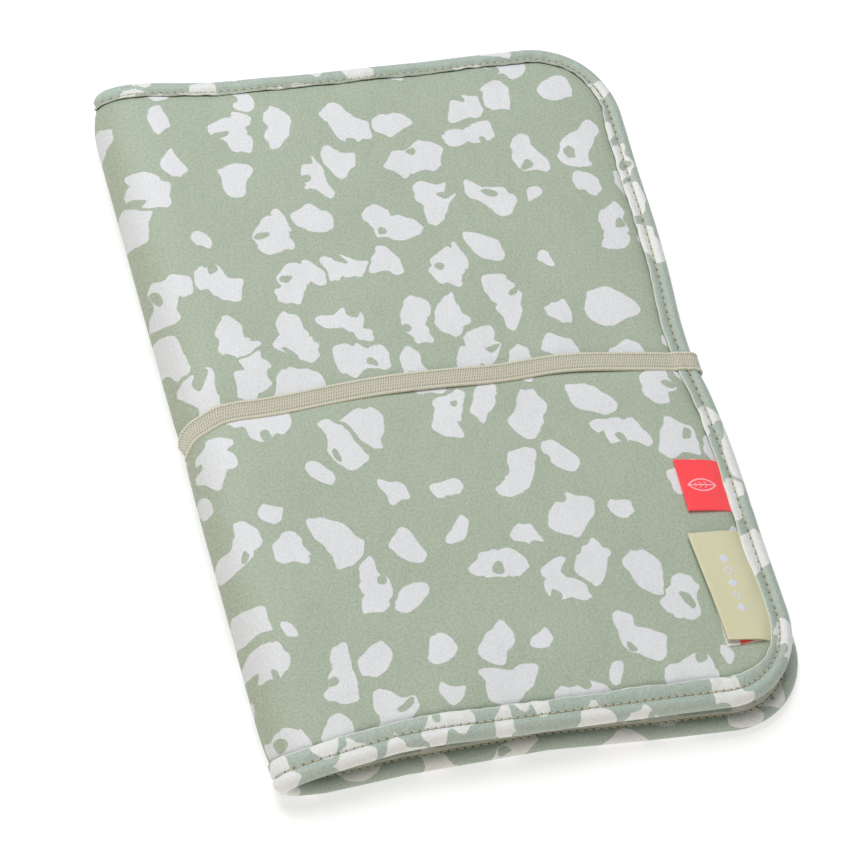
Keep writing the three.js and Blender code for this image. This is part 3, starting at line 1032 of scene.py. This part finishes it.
def make_stitches(name, leaf, path, face, seed):
    """One thread stitch after another along the tape, on its outer or inner face."""
    points, inward, way = path
    random = np.random.default_rng(seed)
    count = int(way[-1] / STITCH_PITCH)
    turns = np.linspace(0, 2 * math.pi, 7)[:-1]
    stations = np.linspace(-1, 1, 7)
    body, faces = [], []
    for i in range(count):
        middle = (i + 0.5) * STITCH_PITCH
        slant = random.uniform(-0.16, 0.16)
        lift = random.uniform(-0.05, 0.05)
        ring_points = []
        for k in stations:
            at = middle + k * STITCH_LENGTH / 2
            s, t = (np.interp(at, way, points[:, j]) for j in (0, 1))
            ns, nt = (np.interp(at, way, inward[:, j]) for j in (0, 1))
            size = math.hypot(ns, nt)
            ns, nt = ns / size, nt / size
            thick = STITCH_RADIUS * math.sqrt(max(1 - (0.96 * k) ** 4, 0.02))
            height = 2.42 + 0.34 * (1 - k ** 4) + lift
            for turn in turns:
                n = STITCH_INSET + slant * k + thick * math.cos(turn)
                h = (height + thick * math.sin(turn)) * tape_swell(leaf, t)
                ring_points.append((s + ns * n, t + nt * n, face * float(h)))
        ring_points = np.array(ring_points)
        first = sum(len(b) for b in body)
        s_at = np.maximum(ring_points[:, 0], 0)
        body.append(leaf.place(s_at, ring_points[:, 1], pressed(leaf, ring_points[:, 2]), 0.05))
        rings, around = len(stations), len(turns)
        faces += grid_faces(rings, around, first, around=True)
        faces.append(tuple(first + v for v in reversed(range(around))))
        faces.append(tuple(first + (rings - 1) * around + v for v in range(around)))
    thread = make_object(name, np.concatenate(body), faces, seam_thread)
    bend(thread)


for leaf_name, leaf, path in (("front", front, front_path), ("back", back, back_path)):
    for face_name, face in (("outer", 1), ("inner", -1)):
        make_stitches(f"{leaf_name}_{face_name}_stitches", leaf, path, face, 50 + leaf.side + 3 * face)

# ---------------------------------------------------------------- elastic strap


def strap_contact(leaf, s):
    """Where the strap's underside lies on a leaf, at ways s from the fold."""
    t = strap_line(s)
    inset = leaf.inset(s, t)
    tape = np.interp(inset, [p[0] for p in reversed(TAPE_FACE)], [p[1] for p in reversed(TAPE_FACE)])
    tape = tape * 0.82 + 0.1
    over_tape = smooth(BINDING_WIDTH + 1.5, BINDING_WIDTH - 0.5, inset)
    # The taut band bridges the hollows of the padding.
    bridge = 0.7 * bump(s, 100, 26) + 0.8 * bump(s, 160, 22) if leaf.side > 0 else 0.0
    h = cover_height(leaf, s, t) * (1 - over_tape) + tape * over_tape + 0.06 + bridge
    return leaf.place(s, t, h)


def strap_loop():
    """The line of the band's underside: over the front, round the open side, back under."""
    over = strap_contact(front, np.linspace(0, front.length - 1.2, 240))
    under = strap_contact(back, np.linspace(back.length - 4.0, 0, 240))
    near_fold = smooth(FOLD_REACH, 4, under[:, 0] - FOLD_LEFT)
    under[:, 2] = np.maximum(under[:, 2], (STRAP_THICKNESS + 0.1) * (1 - near_fold))
    turn_y = over[-1, 1]
    top = front.place(front.length, turn_y, 0)
    low = back.place(back.length, turn_y, 0)
    side = [
        (top[0] + 0.3, turn_y - 0.3, top[2] + 1.3),
        (top[0] + 0.4, turn_y - 0.8, top[2] - 0.6),
        (top[0] - 0.1, turn_y - 1.3, top[2] - 2.6),
        (low[0] + 0.2, turn_y - 1.5, low[2] + 2.2),
        (low[0] + 0.3, turn_y - 1.5, low[2] + 0.4),
        (low[0] - 0.9, turn_y - 1.5, STRAP_THICKNESS + 0.15),
    ]
    bend_line = relax(resample(np.concatenate([over[-14:], side, under[:14]]), 0.6), 8)
    return resample(np.concatenate([over[:-14], bend_line, under[14:]]), 0.75)


def strap_rings(line):
    """Sections of the band along its line, with a cord along each side."""
    half = STRAP_WIDTH / 2
    across = np.array([-1, -0.95, -0.84, -0.7, -0.4, 0, 0.4, 0.7, 0.84, 0.95, 1]) * half
    crest = np.array([0.45, 0.92, 1.04, 0.82, 0.88, 0.92, 0.88, 0.82, 1.04, 0.92, 0.45])
    way = np.gradient(line, axis=0)
    side_step = way[:, 1].copy()
    slant = side_step / np.linalg.norm(way, axis=1)
    way[:, 1] = 0
    way /= np.linalg.norm(way, axis=1)[:, None]
    out = np.stack([-way[:, 2], np.zeros(len(way)), way[:, 0]], 1)
    side = np.array([0, 1.0, 0])[None] - slant[:, None] * way
    side /= np.linalg.norm(side, axis=1)[:, None]
    lift = crest * STRAP_THICKNESS
    upper = line[:, None] + side[:, None] * across[None, :, None] + out[:, None] * lift[None, :, None]
    back_across = across[::-1] * 0.985
    lower = line[:, None] + side[:, None] * back_across[None, :, None] + out[:, None] * 0.02
    return np.concatenate([upper, lower], 1), np.concatenate([across, back_across])


def make_strap(name, rings, way, across):
    points, faces = loft(rings)
    count = len(across)
    uv = np.stack([np.repeat(way[:, None], count, 1), np.repeat(across[None], len(way), 0)], -1)
    band = make_object(name, points, faces, strap_elastic, uv.reshape(-1, 2), crisp_from=len(faces) - 2)
    return band


# How far before and after its turn round the open side the band is cut.
FRONT_RUN_STOPS = 60
BACK_RUN_STARTS = 16

strap_path = strap_loop()
strap_way = way_along(strap_path)
rings, band_across = strap_rings(strap_path)
turned = int(np.argmax(strap_path[:, 0]))
first_cut = int(np.searchsorted(strap_way, strap_way[turned] - FRONT_RUN_STOPS))
second_cut = int(np.searchsorted(strap_way, strap_way[turned] + BACK_RUN_STARTS))

strap_over = make_strap("strap_over_fold", rings[:first_cut + 1], strap_way[:first_cut + 1], band_across)
bend(strap_over)
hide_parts("strap_fold", "strap_front")

run = slice(first_cut, second_cut + 1)
strap_side = make_strap("strap_open_side", rings[run], strap_way[run], band_across)
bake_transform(strap_side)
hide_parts("strap_end")

strap_under = make_strap("strap_under_back", rings[second_cut:], strap_way[second_cut:], band_across)
bend(strap_under)
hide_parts("strap_back")

# ---------------------------------------------------------------- labels

# Each label's visible corners in plan: at the seam, upper and lower, then at the free edge.
LABEL_CORNERS = {
    "coral": [(92.0, -47.6), (91.2, -68.4), (74.6, -45.6), (74.0, -66.8)],
    "beige": [(92.4, -77.2), (92.2, -122.6), (70.0, -76.7), (72.3, -120.5)],
    "care": [(92.0, -86.0), (92.0, -121.6), (72.8, -84.0), (71.8, -122.4)],
    "size": [(92.0, -109.6), (92.0, -120.4), (78.0, -111.2), (77.4, -122.4)],
}
LABEL_THICKNESS = 0.3
LABEL_TUCK = 3.0  # how far a label runs on under the binding


def on_front(x, y, h):
    """A point over the front leaf's middle layer, from its place in plan."""
    s = front.turn + np.asarray(x, float) - front.start
    drift = front.place(s, y, 0)[..., 1] - y
    return front.place(s, np.asarray(y, float) - drift, h)


def label_run(width, gap):
    """A label's section from under the binding to its free end and back: (inset, height)."""
    out = np.linspace(-LABEL_TUCK, width - gap / 2, 22)
    run = [(a, gap * smooth(-1, width * 0.5, a)) for a in out]
    for k in np.linspace(0.2, 0.8, 4):
        turn = math.pi * k
        run.append((width - gap / 2 + gap / 2 * math.sin(turn), gap / 2 + gap / 2 * math.cos(turn)))
    run += [(a, 0.0) for a in out[::-1]]
    return np.array(run)


def make_label(name, node, material, corners, gap, lift, curl, base):
    """A label sewn into the seam; a folded one has a gap between its layers at the free end."""
    seam_top, seam_low, free_top, free_low = (np.array(c) for c in corners)
    width = float(np.mean([math.dist(seam_top, free_top), math.dist(seam_low, free_low)]))
    length = math.dist(seam_top, seam_low)
    single = np.stack([np.linspace(-LABEL_TUCK, width, 24), np.zeros(24)], 1)
    run = label_run(width, gap) if gap else single
    v = np.linspace(0, 1, 34)
    a = run[:, 0][None, :] / width
    b = v[:, None]
    x = (1 - b) * (seam_top[0] + a * (free_top[0] - seam_top[0])) + b * (
        seam_low[0] + a * (free_low[0] - seam_low[0]))
    y = (1 - b) * (seam_top[1] + a * (free_top[1] - seam_top[1])) + b * (
        seam_low[1] + a * (free_low[1] - seam_low[1]))
    s = front.turn + x - front.start
    under_tape = smooth(1.2, -0.4, a * width)
    stacked = base * (0.4 + 0.6 * smooth(0.0, 0.3, a))
    ground = np.maximum(cover_height(front, s, y), 1.0) + stacked
    rise = lift * np.maximum(a, 0) ** 1.6 + curl * np.sin(math.pi * b) * np.maximum(a, 0) ** 2
    loose = run[:, 1][None, :] * (1 - 0.8 * under_tape)
    middle = ground + 0.12 + LABEL_THICKNESS / 2 + rise + loose
    slope = unit(np.gradient(run, axis=0))
    half = LABEL_THICKNESS / 2
    off_x = slope[:, 1][None, :] * half
    off_h = -slope[:, 0][None, :] * half
    outer = on_front(x + off_x, y, middle - off_h)
    inner = on_front(x - off_x, y, middle + off_h)
    points, faces = shell(outer, inner)
    way = way_along(run) - LABEL_TUCK
    uv = np.stack(np.broadcast_arrays(way[None, :], length * b), -1).reshape(-1, 2)
    label = make_object(name, points, faces, material, doubled(uv),
                        crisp_from=2 * quads(x))
    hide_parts(node)
    return label


def lift_at_seam(label):
    """Bakes the label's transform into its mesh; the label is tied to no body here."""
    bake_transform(label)


care = make_label("care_label_white", "care_label", white_weave, LABEL_CORNERS["care"], 0, 0.1, 0.0, 0.0)
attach(care, "front_leaf")

tag = make_label("size_tag_red", "size_tag", tag_weave, LABEL_CORNERS["size"], 0, 0.1, 0.0, 0.42)
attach(tag, "front_leaf")

beige = make_label("beige_label_satin", "beige_label", beige_weave, LABEL_CORNERS["beige"],
                   0.75, 0.7, 0.5, 0.85)
lift_at_seam(beige)

coral = make_label("coral_label_woven", "coral_label", coral_weave, LABEL_CORNERS["coral"],
                   0.6, 0.5, 0.15, 0.0)
lift_at_seam(coral)

# ---------------------------------------------------------------- inside: slip pocket and mat

SLIP_LOW, SLIP_HIGH = box_mm("slip_pocket")
MAT_LOW, MAT_HIGH = box_mm("folded_mat")
MAT_LAYERS = 4
MAT_CLOTH = 0.42


def make_folded_mat():
    """The lying mat, folded to four layers like a letter, in one unbroken cloth."""
    pitch = (MAT_HIGH[2] - MAT_LOW[2] - 0.6) / MAT_LAYERS
    left, right = MAT_LOW[0] + 1, MAT_HIGH[0] - 1
    run = []
    for layer in range(MAT_LAYERS):
        z = MAT_LOW[2] + 0.35 + pitch * layer
        ends = (left, right) if layer % 2 == 0 else (right, left)
        run += [(x, z) for x in np.linspace(*ends, 50)]
        if layer < MAT_LAYERS - 1:
            side = 1 if layer % 2 == 0 else -1
            for turn in np.linspace(-60, 60, 5):
                angle = math.radians(turn)
                run.append((ends[1] + side * pitch / 2 * math.cos(angle),
                            z + pitch / 2 + pitch / 2 * math.sin(angle)))
    run = np.array(run)
    way = unit(np.gradient(run, axis=0))
    out = np.stack([-way[:, 1], way[:, 0]], 1) * MAT_CLOTH / 2
    y = np.linspace(MAT_LOW[1] + 1, MAT_HIGH[1] - 1, 70)[:, None]

    def face(line):
        x, z = line[:, 0][None, :], line[:, 1][None, :]
        soft = 0.05 * waves(x, y, 60, 61)
        return np.stack(np.broadcast_arrays(x, y, z + soft), -1)

    points, faces = shell(face(run + out), face(run - out))
    along = way_along(run)
    uv = np.stack(np.broadcast_arrays(along[None, :], y), -1).reshape(-1, 2)
    mat = make_object("folded_mat_cloth", points, faces, mat_cloth, doubled(uv),
                      crisp_from=2 * (len(run) - 1) * (len(y) - 1))
    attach(mat, "mat")
    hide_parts("folded_mat")


def slip_height(x, y):
    """The pocket's cloth lies over the mat and comes down to the lining along three sides."""
    edge = np.minimum(np.minimum(x - SLIP_LOW[0], SLIP_HIGH[0] - x), y - SLIP_LOW[1])
    roof = MAT_HIGH[2] + 0.28 + 0.12 * waves(x, y, 70, 62)
    foot = LEAF + 0.28
    return foot + (roof - foot) * smooth(0.6, 4.2, edge)


def make_slip_pocket():
    x = np.linspace(SLIP_LOW[0] + 0.4, SLIP_HIGH[0] - 0.4, 120)
    # The columns lie closer together towards both sides, where the cloth turns down.
    half = 88
    x = half * np.sign(x) * (1 - (1 - np.abs(x) / half) ** 1.25)
    y = np.linspace(SLIP_LOW[1] + 0.4, SLIP_HIGH[1] - 0.4, 120)
    gx, gy = np.meshgrid(x, y)
    z = slip_height(gx, gy)
    points, faces = shell(np.stack([gx, gy, z + 0.2], -1), np.stack([gx, gy, z - 0.2], -1))
    uv = np.stack([gx + 300, gy], -1).reshape(-1, 2)
    pocket = make_object("slip_pocket_cloth", points, faces, lining_cloth,
                         doubled(uv), crisp_from=2 * quads(gx))
    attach(pocket, "back_leaf")
    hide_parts("slip_pocket")


def flat_tape(name, line, width, thickness, body, node):
    """A folded tape along a line of points, lying flat."""
    section = [(-1, 0.3), (-0.94, 0.85), (-0.8, 1), (-0.5, 0.84), (0, 0.98), (0.5, 0.84), (0.8, 1),
               (0.94, 0.85), (1, 0.3), (0.9, 0), (-0.9, 0)]
    line = np.asarray(line, float)
    way = unit(np.gradient(line, axis=0))
    up = np.array([0, 0, 1.0 if body == "back_leaf" else -1.0])
    side = np.cross(up[None], way)
    side /= np.linalg.norm(side, axis=1)[:, None]
    rings = np.array([[p + d * a * width / 2 + up * h * thickness for a, h in section]
                      for p, d in zip(line, side)])
    points, faces = loft(rings)
    along = way_along(line)
    across = np.array([a for a, _ in section]) * width / 2
    uv = np.stack(np.broadcast_arrays(along[:, None] + 1500, across[None, :]), -1).reshape(-1, 2)
    tape = make_object(name, points, faces, edging_cloth, uv, crisp_from=len(faces) - 2)
    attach(tape, body)
    if node:
        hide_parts(node)


make_folded_mat()
make_slip_pocket()
HEM_LOW, HEM_HIGH = box_mm("slip_pocket_hem")
hem_x = np.linspace(HEM_LOW[0] + 1, HEM_HIGH[0] - 1, 90)
hem_y = np.full(90, (HEM_LOW[1] + HEM_HIGH[1]) / 2)
hem_z = slip_height(hem_x, hem_y) + 0.22
flat_tape("slip_pocket_edging", np.stack([hem_x, hem_y, hem_z], 1), HEM_HIGH[1] - HEM_LOW[1], 0.6,
          "back_leaf", "slip_pocket_hem")

# ---------------------------------------------------------------- inside: mesh pocket

NET_LOW, NET_HIGH = box_mm("mesh_pocket")
NET_PITCH = 4.2
NET_THREAD = 0.17
NET_GAP = 0.75  # from the lining to the net


def net_height(x, y):
    edge = np.minimum(np.minimum(x - NET_LOW[0], NET_HIGH[0] - x), y - NET_LOW[1])
    return -(HALF_LEAF + 0.15 + NET_GAP * smooth(1, 6, edge))


def make_net():
    """A knitted net of crossing threads, every thread a closed strand."""
    left, right = NET_LOW[0] + 1.5, NET_HIGH[0] - 1.5
    low, high = NET_LOW[1] + 1.5, NET_HIGH[1] - 2.0
    body, faces = [], []
    first = 0
    turns = np.linspace(0, 2 * math.pi, 5)[:-1] + math.pi / 4
    for slope in (1, -1):
        span = (right - left) + (high - low)
        for k in range(1, int(span / NET_PITCH)):
            c = left - (high - low) + k * NET_PITCH
            start = max(left, c)
            stop = min(right, c + (high - low))
            if stop - start < 2:
                continue
            x = np.linspace(start, stop, max(6, int((stop - start) / 1.05)))
            y = low + (x - c) if slope > 0 else high - (x - c)
            weave = 0.3 * np.sin(x * 2 * math.pi / NET_PITCH)
            h = net_height(x, y) + slope * 0.06
            rings = []
            for angle in turns:
                dx = NET_THREAD * math.cos(angle) * 0.7
                dy = -slope * dx
                rings.append(on_front(x + dx + weave, y + dy + weave * 0.4,
                                      h + NET_THREAD * math.sin(angle)))
            rings = np.stack(rings, 1)
            count = len(x)
            body.append(rings.reshape(-1, 3))
            faces += grid_faces(count, 4, first, around=True)
            faces.append(tuple(first + v for v in range(3, -1, -1)))
            faces.append(tuple(first + (count - 1) * 4 + v for v in range(4)))
            first += 4 * count
    net = make_object("mesh_pocket_net", np.concatenate(body), faces, net_thread)
    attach(net, "front_leaf")
    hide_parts("mesh_pocket")


def front_inner_line(points, gap):
    points = np.asarray(points, float)
    return on_front(points[:, 0], points[:, 1], -(HALF_LEAF + gap))


make_net()
x0, x1 = NET_LOW[0] + 2.2, NET_HIGH[0] - 2.2
y0, y1 = NET_LOW[1] + 2.2, NET_HIGH[1] - 1.0
side_lines = {
    "left": [(x0, y) for y in np.linspace(y0, y1, 50)],
    "right": [(x1, y) for y in np.linspace(y1, y0, 50)],
    "end": [(x, y0) for x in np.linspace(x0, x1, 60)],
}
for side_name, line in side_lines.items():
    flat_tape(f"mesh_pocket_edge_{side_name}", front_inner_line(line, 0.2), 4.4, 0.6,
              "front_leaf", None)
NET_HEM_LOW, NET_HEM_HIGH = box_mm("mesh_pocket_hem")
hem_line = [(x, (NET_HEM_LOW[1] + NET_HEM_HIGH[1]) / 2) for x in np.linspace(x0 - 1, x1 + 1, 60)]
flat_tape("mesh_pocket_edging", front_inner_line(hem_line, 0.95), 8.6, 0.6, "front_leaf",
          "mesh_pocket_hem")

# ---------------------------------------------------------------- surroundings

FLOOR_Z = -0.0004
FLOOR_WHITE = 0.62
FLOOR_GLOW = 0.52
KEY_POWER = 17.7
WARM_POWER = 8.0
WORLD_STRENGTH = 0.27


def make_floor():
    mesh = bpy.data.meshes.new("floor")
    size = 3.0
    corners = [(x * size, y * size, FLOOR_Z) for x, y in ((-1, -1), (1, -1), (1, 1), (-1, 1))]
    mesh.from_pydata(corners, [], [(0, 1, 2, 3)])
    floor = bpy.data.objects.new("floor", mesh)
    bpy.context.scene.collection.objects.link(floor)
    # A lightbox top: lit from above and glowing a little, so shadows on it stay faint.
    graph = Graph("floor_lightbox", roughness=0.9, specular=0.1)
    graph.shader.inputs["Emission Color"].default_value = (1.0, 1.0, 1.0, 1.0)
    graph.shader.inputs["Emission Strength"].default_value = FLOOR_GLOW
    mesh.materials.append(graph.finish((FLOOR_WHITE, FLOOR_WHITE, FLOOR_WHITE, 1.0)))


def make_light(name, place, size, power, color):
    """A round softbox that points at the object's origin."""
    data = bpy.data.lights.new(name, "AREA")
    data.shape = "DISK"
    data.size = size
    data.energy = power
    data.color = color
    light = bpy.data.objects.new(name, data)
    light.location = place
    light.rotation_euler = (-Vector(place)).to_track_quat("-Z", "Y").to_euler()
    bpy.context.scene.collection.objects.link(light)


def make_lighting():
    make_light("key", (-0.3, 0.6, 1.3), 0.95, KEY_POWER, (0.985, 0.995, 1.0))
    make_light("warm_fill", (-0.45, -1.5, 0.65), 1.2, WARM_POWER, (1.0, 0.87, 0.7))
    world = bpy.data.worlds.new("studio")
    bpy.context.scene.world = world
    world.use_nodes = True
    background = world.node_tree.nodes["Background"]
    background.inputs["Color"].default_value = (1.0, 1.0, 1.0, 1.0)
    background.inputs["Strength"].default_value = WORLD_STRENGTH


CAMERA_AZIMUTH = math.radians(38.88)  # of the view direction, from +Y towards +X
CAMERA_ELEVATION = math.radians(58.57)
CAMERA_ROLL = math.radians(26.40)
CAMERA_DISTANCE = 1.4831
CAMERA_TARGET = Vector((-0.0132, -0.0129, 0.012))
CAMERA_FOCUS = 169.4  # focal length in mm on a 36 mm sensor


def make_camera():
    data = bpy.data.cameras.new("camera")
    data.lens = CAMERA_FOCUS
    data.sensor_width = 36.0
    data.clip_end = 20.0
    camera = bpy.data.objects.new("camera", data)
    bpy.context.scene.collection.objects.link(camera)
    a, e, r = CAMERA_AZIMUTH, CAMERA_ELEVATION, CAMERA_ROLL
    forward = Vector((math.sin(a) * math.cos(e), math.cos(a) * math.cos(e), -math.sin(e)))
    level = Vector((math.cos(a), -math.sin(a), 0))
    up = level.cross(forward)
    right = level * math.cos(r) + up * math.sin(r)
    top = up * math.cos(r) - level * math.sin(r)
    turn = Matrix((right, top, -forward)).transposed().to_4x4()
    camera.matrix_world = Matrix.Translation(CAMERA_TARGET - forward * CAMERA_DISTANCE) @ turn
    bpy.context.scene.camera = camera


make_floor()
make_lighting()
make_camera()
bpy.context.scene.view_settings.view_transform = "Standard"
